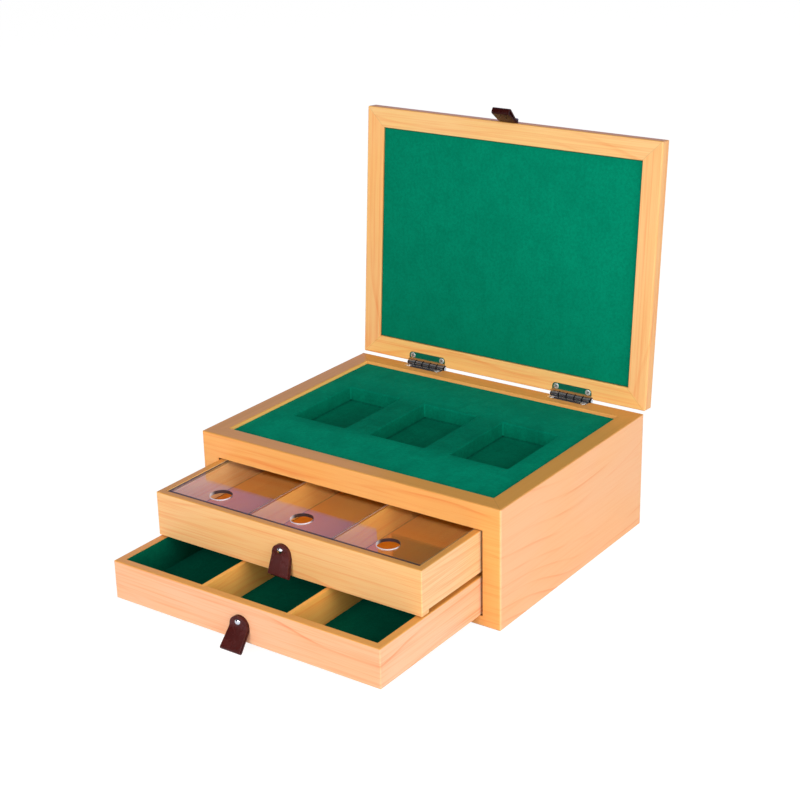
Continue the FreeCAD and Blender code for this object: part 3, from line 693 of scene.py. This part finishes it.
class CoinBoxColours(bpy.types.PropertyGroup):
    case_front: bpy.props.FloatVectorProperty(
        name="Case front wood", description="Orange wood of the front and back of the case",
        subtype="COLOR", size=3, min=0, max=1, default=(0.90, 0.425, 0.124))
    # The sides' paler, bluer tint is painted light: the front's own wood, lit by the right lamp and
    # mirroring the pale backdrop
    case_side: bpy.props.FloatVectorProperty(
        name="Case side wood", description="Peach wood of the sides of the case",
        subtype="COLOR", size=3, min=0, max=1, default=(0.94, 0.505, 0.252))
    lid_wood: bpy.props.FloatVectorProperty(
        name="Lid wood", description="Wood of the lid", subtype="COLOR",
        size=3, min=0, max=1, default=(0.90, 0.53, 0.180))
    drawer_wood: bpy.props.FloatVectorProperty(
        name="Drawer wood", description="Yellower wood of the upper drawer", subtype="COLOR",
        size=3, min=0, max=1, default=(0.90, 0.525, 0.222))
    lower_wood: bpy.props.FloatVectorProperty(
        name="Lower drawer wood", description="Peach wood of the lower drawer", subtype="COLOR",
        size=3, min=0, max=1, default=(0.89, 0.472, 0.270))
    # The rims' browner tint is painted shade on the narrow top edges
    painted_rim_shade: bpy.props.FloatVectorProperty(
        name="Painted rim shade", description="Browner wood of the narrow top edges", subtype="COLOR",
        size=3, min=0, max=1, default=(0.73, 0.33, 0.072))
    wood_line: bpy.props.FloatVectorProperty(
        name="Growth lines", description="How the growth lines tint the wood",
        subtype="COLOR", size=3, min=0, max=1, default=(0.94, 0.58, 0.40))
    velvet: bpy.props.FloatVectorProperty(
        name="Velvet", description="Green of the velvet and felt", subtype="COLOR",
        size=3, min=0, max=1, default=(0.0, 0.225, 0.124))
    leather: bpy.props.FloatVectorProperty(
        name="Leather", description="Brown of the leather pulls", subtype="COLOR",
        size=3, min=0, max=1, default=(0.066, 0.0075, 0.0055))


def settings():
    scene = bpy.context.scene
    return scene.coin_box_sizes, scene.coin_box_colours


# Pieces

def put_wood(name, boards, tint, turn, shift=(0, 0, 0), **grain):
    """Gives boards one wood, turned so that its grain runs along them."""
    _, colours = settings()
    material = wood(name, tint, tuple(colours.wood_line), turn, shift, **grain)
    for board in boards:
        put_on(NODES[board], material)


def round_corner(front_board, side_board):
    """The shifts that let the grain run on round the corner of two boards."""
    face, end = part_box(front_board)[0].y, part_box(side_board)[1].x
    return (0, -face, 0), (end - face, end, 0)


def dress_case(front, side, rim):
    low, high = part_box("case_front")
    shift, turned = round_corner("case_front", "case_right")
    # rim darkens the top edges with painted shade, and corner puts a painted highlight down the
    # rounded front corner
    grain = {"seed": 0.3, "spacing": 0.015, "figure": 0.55, "sway": 0.13, "streaks": 0.28,
             "rim": (2, high.z, rim), "corner": turned[1]}
    inner_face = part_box("case_right")[1].x - (high.y - low.y)

    def corners(f):
        return mitres(f, "case_front", "case_back")

    def leaf_shade_and_glue_lines(f):
        return leaf_edge_shade(f, 1, *CASE_LEAF_REACH, (2, high.z, 1)) + corners(f)

    put_wood("case front wood", ("case_front",), front, ALONG_X, shift,
             marks=lambda f: opening_shade(f) + corners(f), **grain)
    put_wood("case back wood", ("case_back",), front, ALONG_X, marks=leaf_shade_and_glue_lines, **grain)
    grain["streaks"] = 0.12
    # The sides are tinted paler and bluer than the front, as painted light and painted reflection
    put_wood("case side wood", ("case_left", "case_right"), side, ALONG_Y, turned,
             marks=corners, inner=(0, inner_face, GOLDEN_WOOD), **grain)


def dress_lid(lid, rim):
    grain = {"spacing": 0.011, "figure": 0.42, "streaks": 0.38, "sway": 0.08}
    lid_to_grain = Matrix.Rotation(math.radians(LID_CROSS[0]), 4, "X") @ LID_TURN
    edge = lid_to_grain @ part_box("case_front")[0]
    face = (1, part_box("lid_back_rail")[0].y, -1)

    def corners(f):
        return mitres(f, "lid_back_rail", "lid_front_rail", 2)

    def leaf_shade_and_glue_lines(f):
        return leaf_edge_shade(f, 2, *LID_LEAF_REACH, face) + corners(f)

    # The front rail's narrow edge gets the rims' painted shade
    put_wood("lid front wood", ("lid_front_rail",), tinted(lid, (0.96, 1.0, 1.20)), LID_CROSS,
             seed=1.9, rim=(1, edge.y, rim), marks=corners, **grain)
    put_wood("lid back wood", ("lid_back_rail",), lid, LID_CROSS, seed=3.1,
             marks=leaf_shade_and_glue_lines, **grain)
    put_wood("lid left wood", ("lid_left_stile",), tinted(lid, (0.98, 0.91, 0.98)), LID_RISE,
             seed=2.7, marks=corners, **grain)
    put_wood("lid right wood", ("lid_right_stile",), tinted(lid, (1.0, 0.95, 1.12)), LID_RISE,
             seed=2.2, marks=corners, **grain)
    put_wood("lid panel wood", ("lid_panel",), lid, LID_CROSS, seed=4.1, spacing=0.016,
             figure=0.35, sway=0.12)


def dress_upper_drawer(upper, golden, rim):
    shift, turned = round_corner("upper_front", "upper_right_side")
    grain = {"seed": 5.2, "spacing": 0.010, "figure": 0.46, "streaks": 0.44,
             "rim": (2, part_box("upper_front")[1].z, rim)}
    put_wood("upper front wood", ("upper_front", "upper_back"), upper, ALONG_X, shift, **grain)
    # The sides are tinted paler and bluer than the front, as painted light
    put_wood("upper side wood", ("upper_left_side", "upper_right_side"),
             tinted(upper, (1.00, 1.12, 1.36)), ALONG_Y, turned, **grain)
    put_wood("upper divider wood", ("upper_divider_left", "upper_divider_right"), golden,
             ALONG_Y, seed=5.9, streaks=0.3)
    # The floor's deeper orange is partly its own wood, partly painted shade under the covers
    put_wood("upper floor wood", ("upper_bottom",), tinted(upper, (0.89, 0.44, 0.04)), ALONG_Y,
             seed=6.3, spacing=0.02, figure=0.45, marks=wall_foot_shade)


def dress_lower_drawer(lower, golden, rim):
    shift, turned = round_corner("lower_front", "lower_right_side")
    grain = {"seed": 7.4, "spacing": 0.026, "figure": 0.70, "streaks": 0.36, "sway": 0.12,
             "rim": (2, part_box("lower_front")[1].z, tinted(rim, 1.12))}
    put_wood("lower front wood", ("lower_front", "lower_back"), lower, ALONG_X, shift, **grain)
    # The sides are tinted paler and bluer than the front, as painted light
    put_wood("lower side wood", ("lower_left_side", "lower_right_side"),
             tinted(lower, (1.06, 1.19, 1.24)), ALONG_Y, turned, **grain)
    put_wood("lower divider wood", ("lower_divider_left", "lower_divider_right"), golden,
             ALONG_Y, seed=8.5, spacing=0.02)


class DressWood(bpy.types.Operator):
    """Gives every wooden board its grain, along its own length"""

    bl_idname = "coinbox.dress_wood"
    bl_label = "Wooden boards"

    def execute(self, context):
        _, colours = settings()
        rim, upper = tuple(colours.painted_rim_shade), tuple(colours.drawer_wood)
        golden = tinted(upper, (1.04, 0.92, 0.50))
        dress_case(tuple(colours.case_front), tuple(colours.case_side), rim)
        dress_lid(tuple(colours.lid_wood), rim)
        dress_upper_drawer(upper, golden, rim)
        dress_lower_drawer(tuple(colours.lower_wood), golden, rim)
        put_wood("inner panel wood", ("case_bottom", "dust_panel", "tray_floor", "tray_core",
                                      "lower_bottom"), upper, ALONG_X, seed=9.6)
        return {"FINISHED"}


class LayTrayVelvet(bpy.types.Operator):
    """Lays the velvet over the tray and down into its three pockets"""

    bl_idname = "coinbox.lay_tray_velvet"
    bl_label = "Tray velvet"

    def execute(self, context):
        sizes, colours = settings()
        low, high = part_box("tray_lining")
        top, floor = high.z, low.z + VELVET
        alone()
        bpy.ops.mesh.primitive_plane_add(size=1, location=(0, 0, top))
        piece = started("tray_velvet", (high.x - low.x, high.y - low.y, 1))
        edit(piece)
        for centre in POCKET_CENTRES:
            for x in (centre - POCKET_HALF_WIDTH, centre + POCKET_HALF_WIDTH):
                bpy.ops.mesh.select_all(action="SELECT")
                bpy.ops.mesh.bisect(plane_co=(x, 0, 0), plane_no=(1, 0, 0))
        for y in (-POCKET_HALF_LENGTH, POCKET_HALF_LENGTH):
            bpy.ops.mesh.select_all(action="SELECT")
            bpy.ops.mesh.bisect(plane_co=(0, y, 0), plane_no=(0, 1, 0))

        def off_centre(at):
            return min(abs(at.x - centre) for centre in POCKET_CENTRES)

        def on_rim(at):
            side = abs(off_centre(at) - POCKET_HALF_WIDTH) < TOUCHING
            end = abs(abs(at.y) - POCKET_HALF_LENGTH) < TOUCHING
            return (side and abs(at.y) < POCKET_HALF_LENGTH) or (
                end and off_centre(at) < POCKET_HALF_WIDTH)

        def on_outside(at):
            return min(abs(abs(at.x) - high.x), abs(abs(at.y) - high.y)) < TOUCHING

        def at_top(at):
            return abs(at.z - top) < TOUCHING

        pick("faces", lambda at, up: abs(at.y) < POCKET_HALF_LENGTH
             and off_centre(at) < POCKET_HALF_WIDTH)
        bpy.ops.mesh.extrude_region_move(TRANSFORM_OT_translate={"value": (0, 0, floor - top)})
        pick("edges", lambda at, way: at_top(at) and on_outside(at))
        bpy.ops.mesh.extrude_region_move(
            TRANSFORM_OT_translate={"value": (0, 0, -VELVET_TURNED_DOWN)})
        bpy.ops.mesh.select_all(action="SELECT")
        bpy.ops.mesh.normals_make_consistent(inside=False)
        pick("edges", lambda at, way: abs(way.z) > 0.9 and floor < at.z < top - 0.003)
        bpy.ops.mesh.bevel(offset=0.0009, segments=3, affect="EDGES")
        pick("edges", lambda at, way: abs(way.z) < 0.1 and at_top(at)
             and (on_outside(at) or on_rim(at)))
        bpy.ops.mesh.bevel(offset=sizes.velvet_rim, segments=3, affect="EDGES")
        bpy.ops.object.mode_set(mode="OBJECT")
        modifier(piece, "SOLIDIFY", thickness=0.0008, offset=-1)
        # A lighter copy of the lid's green, as painted sheen
        green = tinted(colours.velvet, (1.0, 1.26, 1.34))
        material = velvet("tray velvet", green, tinted(green, 0.70), shade_and_highlight=pocket_shade_and_highlights)
        done(piece, "case", "velvet", material, "tray_lining")
        return {"FINISHED"}


class LayLidVelvet(bpy.types.Operator):
    """Stretches the velvet over the inside of the lid"""

    bl_idname = "coinbox.lay_lid_velvet"
    bl_label = "Lid velvet"

    def execute(self, context):
        _, colours = settings()
        green = tuple(colours.velvet)
        material = velvet("lid velvet", tinted(green, 1.06), tinted(green, 0.88),
                          shade_and_highlight=velvet_edge_shadow)
        piece = node_copy("lid_lining", "lid_velvet")
        modifier(piece, "BEVEL", width=0.0004, segments=2)
        done(piece, "lid", "velvet", material, "lid_lining")
        return {"FINISHED"}


class LayDrawerFelt(bpy.types.Operator):
    """Lines the floor and the walls of the lower drawer"""

    bl_idname = "coinbox.lay_drawer_felt"
    bl_label = "Drawer felt"

    def execute(self, context):
        _, colours = settings()
        # A darker copy of the velvet's green, as painted shade under the upper drawer
        green = tinted(colours.velvet, 0.55)
        material = velvet("drawer felt", green, tinted(green, 0.75), 0.9)
        floor_low, floor_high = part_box("lower_floor_lining")
        low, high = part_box("lower_wall_lining")
        wide, long = high.x - low.x, high.y - low.y
        for node, name, flat, held in (
                ("lower_floor_lining", "floor_felt",
                 (floor_high.x - floor_low.x, floor_high.y - floor_low.y), "laid"),
                ("lower_wall_lining", "wall_felt", (2 * (wide + long), high.z - low.z),
                 "stretched")):
            piece = node_copy(node, name)
            modifier(piece, "BEVEL", width=0.0003, segments=2)
            done(piece, "lower_drawer", "drawer_felt", material, node)
        return {"FINISHED"}


class CutPulls(bpy.types.Operator):
    """Makes the three folded leather pulls, with eased edges"""

    bl_idname = "coinbox.cut_pulls"
    bl_label = "Leather pulls"

    def execute(self, context):
        sizes, colours = settings()
        # Each pull's shares are painted light: the upper pull paler and greyer as a painted
        # highlight, the lid's tab and the lower pull darker as painted shade
        for node, body, shares, shine in (
                ("lid_loop", "lid", (0.45, 0.40, 0.40), 0.10),
                ("upper_loop", "upper_drawer", (1.15, 1.6, 2.0), 0.24),
                ("lower_loop", "lower_drawer", (0.90, 0.75, 0.75), 0.24)):
            brown = tinted(colours.leather, shares)
            material = leather(node.replace("loop", "pull leather"), brown, tinted(brown, 1.9),
                               shine)
            piece = node_copy(node, node.replace("loop", "pull"))
            modifier(piece, "BEVEL", width=sizes.leather_edge, segments=3,
                     angle_limit=math.radians(40))
            done(piece, body, "leather", material, node)
        return {"FINISHED"}


class TurnScrews(bpy.types.Operator):
    """Turns the domed screws that hold the leather pulls"""

    bl_idname = "coinbox.turn_screws"
    bl_label = "Pull screws"

    def execute(self, context):
        sizes, _ = settings()
        material = plated("screw plate", (0.82, 0.82, 0.86), 0.10)
        closed = LID_TURN.inverted()
        for node, body in (("lid_loop_screw", "lid"), ("upper_loop_screw", "upper_drawer"),
                           ("lower_loop_screw", "lower_drawer")):
            mesh = NODES[node].data
            turn = closed if body == "lid" else Matrix()
            points = [turn @ corner.co for corner in mesh.vertices]
            low = Vector(min(p[axis] for p in points) for axis in range(3))
            high = Vector(max(p[axis] for p in points) for axis in range(3))
            seat = Vector((0, low.y + sizes.dome, (low.z + high.z) / 2))
            piece = domed_screw(node.replace("loop", "pull"), (high.z - low.z) / 2, sizes.dome,
                                PULL_SCREW_SHANK, high.y - seat.y)
            lying = Matrix.Translation(seat) @ Matrix.Rotation(math.radians(90), 4, "X")
            piece.matrix_world = turn.inverted() @ lying
            alone(piece)
            bpy.ops.object.transform_apply(location=True, rotation=True, scale=True)
            done(piece, body, "plated_steel", material, node)
        return {"FINISHED"}


def hinge_screw_place(body, across, number):
    """Where a hinge screw lies in its leaf, its cross turned another way for each number."""
    if body == "case":
        place = Matrix.Translation((across, HINGE_SCREW_Y, CASE_RIM_Z))
    else:
        place = LID_TURN @ Matrix.Translation((across, HINGE_SCREW_Y, CASE_RIM_Z + LID_GAP))
        place = place @ Matrix.Rotation(math.pi, 4, "X")
    return place @ Matrix.Rotation(math.radians(37 * number % 90), 4, "Z")


def shade_screw_cross(piece, place, dark):
    """Gives the cross cut in a screw's head, which lies below its top, a dark plate as painted
    shade.
    """
    piece.data.materials.append(dark)
    centre = place.translation
    out = place.to_3x3() @ Vector((0, 0, 1))
    edit(piece)
    pick("faces", lambda at, up: up.dot(out) > 0.9 and (at - centre).dot(out) < HINGE_CROSS_BELOW)
    bpy.context.object.active_material_index = 1
    bpy.ops.object.material_slot_assign()
    alone()


class DressHinges(bpy.types.Operator):
    """Plates the hinge leaves and pins, and sets the small cross-cut screws in the leaves"""

    bl_idname = "coinbox.dress_hinges"
    bl_label = "Hinges"

    def execute(self, context):
        sizes, _ = settings()
        material = plated("hinge plate", (0.78, 0.77, 0.78), 0.03, knuckle_joints)
        for side in ("left", "right"):
            for part in ("case_leaf", "lid_leaf", "pin"):
                put_on(NODES[f"{side}_hinge_{part}"], material)
        bright = plated("hinge screw plate", (0.88, 0.88, 0.90), 0.42)
        # painted shade for the shallow cross cuts in the hinge screws
        dark = plated("screw cross", (0.06, 0.05, 0.05), 0.5)
        model = cross_screw("hinge_screw", sizes.hinge_screw, HINGE_SCREW_PROUD)
        number = 0
        for hinge_x in (-HINGE_X, HINGE_X):
            for aside in (-HINGE_SCREW_ASIDE, HINGE_SCREW_ASIDE):
                for body in ("case", "lid"):
                    number += 1
                    place = hinge_screw_place(body, hinge_x + aside, number)
                    piece = copied(model, f"{body}_hinge_screw_{number}", place)
                    done(piece, body, "plated_steel", bright)
                    shade_screw_cross(piece, place, dark)
        bpy.data.meshes.remove(model.data)
        return {"FINISHED"}


class SetCovers(bpy.types.Operator):
    """Makes the three covers of the upper drawer clear"""

    bl_idname = "coinbox.set_covers"
    bl_label = "Acrylic covers"

    def execute(self, context):
        material = acrylic("clear acrylic", (0.95, 0.94, 0.92))
        for place in ("left", "middle", "right"):
            put_on(NODES[f"cover_{place}"], material)
        return {"FINISHED"}


def lay_floor():
    """Lays the floor: nearly white in view with the object's shadow on it, cooler in a mirror."""
    alone()
    bpy.ops.mesh.primitive_circle_add(vertices=96, radius=12, fill_type="NGON")
    floor = started("studio_floor")
    f = Finish("pale floor")
    glossy = Number(f, f.node("LightPath").outputs["Is Glossy Ray"])
    pale = f.mix(glossy, (1, 1, 1), (0.60, 0.66, 0.74))
    shaded = f.node("BsdfDiffuse", {}, {"Color": (0.92, 0.92, 0.92, 1)})
    faint = f.node("BsdfDiffuse", {}, {"Color": (0.28, 0.28, 0.28, 1)})
    glow = f.node("Emission", {}, {"Color": pale, "Strength": 0.90})
    white = f.node("AddShader", {}, (glow.outputs[0], faint.outputs[0]))
    mixed = f.node("MixShader", {}, (seen_share(f), shaded.outputs[0], white.outputs[0]))
    f.show(mixed.outputs[0])
    put_on(floor, f.material)


def fill_room(scene):
    """Lights the room: white in view, but mirrored lavender behind the box, dim before and above."""
    world = bpy.data.worlds.new("studio air")
    world.use_nodes = True
    scene.world = world
    air = Finish("", world.node_tree)
    _, depth, height = air.split(air.node("TexCoord").outputs["Generated"])
    room = air.mix(air.between(depth, -0.15, 0.35), (0.06, 0.06, 0.065), (0.46, 0.44, 0.80))
    room = air.mix(air.between(height, 0.50, 0.85), room, (0.15, 0.15, 0.16))
    glossy = Number(air, air.node("LightPath").outputs["Is Glossy Ray"])
    strength = ROOM_LIGHT + Number(air, seen_share(air)) * (1.0 - ROOM_LIGHT)
    light = air.node("Background", {}, {
        "Color": air.mix(glossy, (1, 1, 1), room), "Strength": strength})
    air.node("OutputWorld", {}, {"Surface": light.outputs[0]})


def hang_lamps(scene):
    """Hangs two square softboxes, each with its place, size in metres and power in watts."""
    for name, place, size, power in (
            ("front softbox", (0.3, -2.6, 1.1), 1.7, 50),
            ("right softbox", (3.3, -0.9, 1.25), 2.3, 76)):
        lamp = bpy.data.lights.new(name, "AREA")
        lamp.shape = "SQUARE"
        lamp.size = size
        lamp.energy = power
        stand = bpy.data.objects.new(name, lamp)
        stand.location = place
        aim = LAMPS_AIM_AT - Vector(place)
        stand.rotation_euler = aim.to_track_quat("-Z", "Y").to_euler()
        scene.collection.objects.link(stand)


def place_camera(scene, focal_length):
    """Puts the camera where the photograph was taken from."""
    lens = bpy.data.cameras.new("photo camera")
    lens.lens = focal_length
    lens.sensor_width = 36
    lens.clip_start = 0.05
    camera = bpy.data.objects.new("photo camera", lens)
    turn = Matrix.Rotation(math.radians(CAMERA_HEADING), 4, "Z")
    turn = turn @ Matrix.Rotation(math.radians(90 - CAMERA_LOOKS_DOWN), 4, "X")
    turn = turn @ Matrix.Rotation(math.radians(CAMERA_ROLL), 4, "Z")
    camera.matrix_world = Matrix.Translation(CAMERA_AT) @ turn
    scene.collection.objects.link(camera)
    scene.camera = camera


class SetStage(bpy.types.Operator):
    """Sets the pale floor, the soft studio lamps and the camera"""

    bl_idname = "coinbox.set_stage"
    bl_label = "Stage"

    def execute(self, context):
        sizes, _ = settings()
        scene = context.scene
        scene.view_settings.view_transform = "Standard"
        lay_floor()
        fill_room(scene)
        hang_lamps(scene)
        place_camera(scene, sizes.lens)
        return {"FINISHED"}


STEPS = (SetStage, DressWood, LayTrayVelvet, LayLidVelvet, LayDrawerFelt, CutPulls, TurnScrews,
         DressHinges, SetCovers)


class CoinBoxPanel(bpy.types.Panel):
    bl_idname = "VIEW3D_PT_coin_box"
    bl_label = "Coin display box"
    bl_space_type = "VIEW_3D"
    bl_region_type = "UI"
    bl_category = "Coin Box"

    def draw(self, context):
        for group in settings():
            for name in group.__annotations__:
                self.layout.prop(group, name)
        for step in STEPS:
            self.layout.operator(step.bl_idname)


CLASSES = (CoinBoxSizes, CoinBoxColours, *STEPS, CoinBoxPanel)


def register():
    for cls in CLASSES:
        bpy.utils.register_class(cls)
    bpy.types.Scene.coin_box_sizes = bpy.props.PointerProperty(type=CoinBoxSizes)
    bpy.types.Scene.coin_box_colours = bpy.props.PointerProperty(type=CoinBoxColours)


def unregister():
    del bpy.types.Scene.coin_box_sizes
    del bpy.types.Scene.coin_box_colours
    for cls in reversed(CLASSES):
        bpy.utils.unregister_class(cls)


def main():
    register()
    for step in STEPS:
        group, name = step.bl_idname.split(".")
        getattr(getattr(bpy.ops, group), name)()


if __name__ == "__main__":
    main()
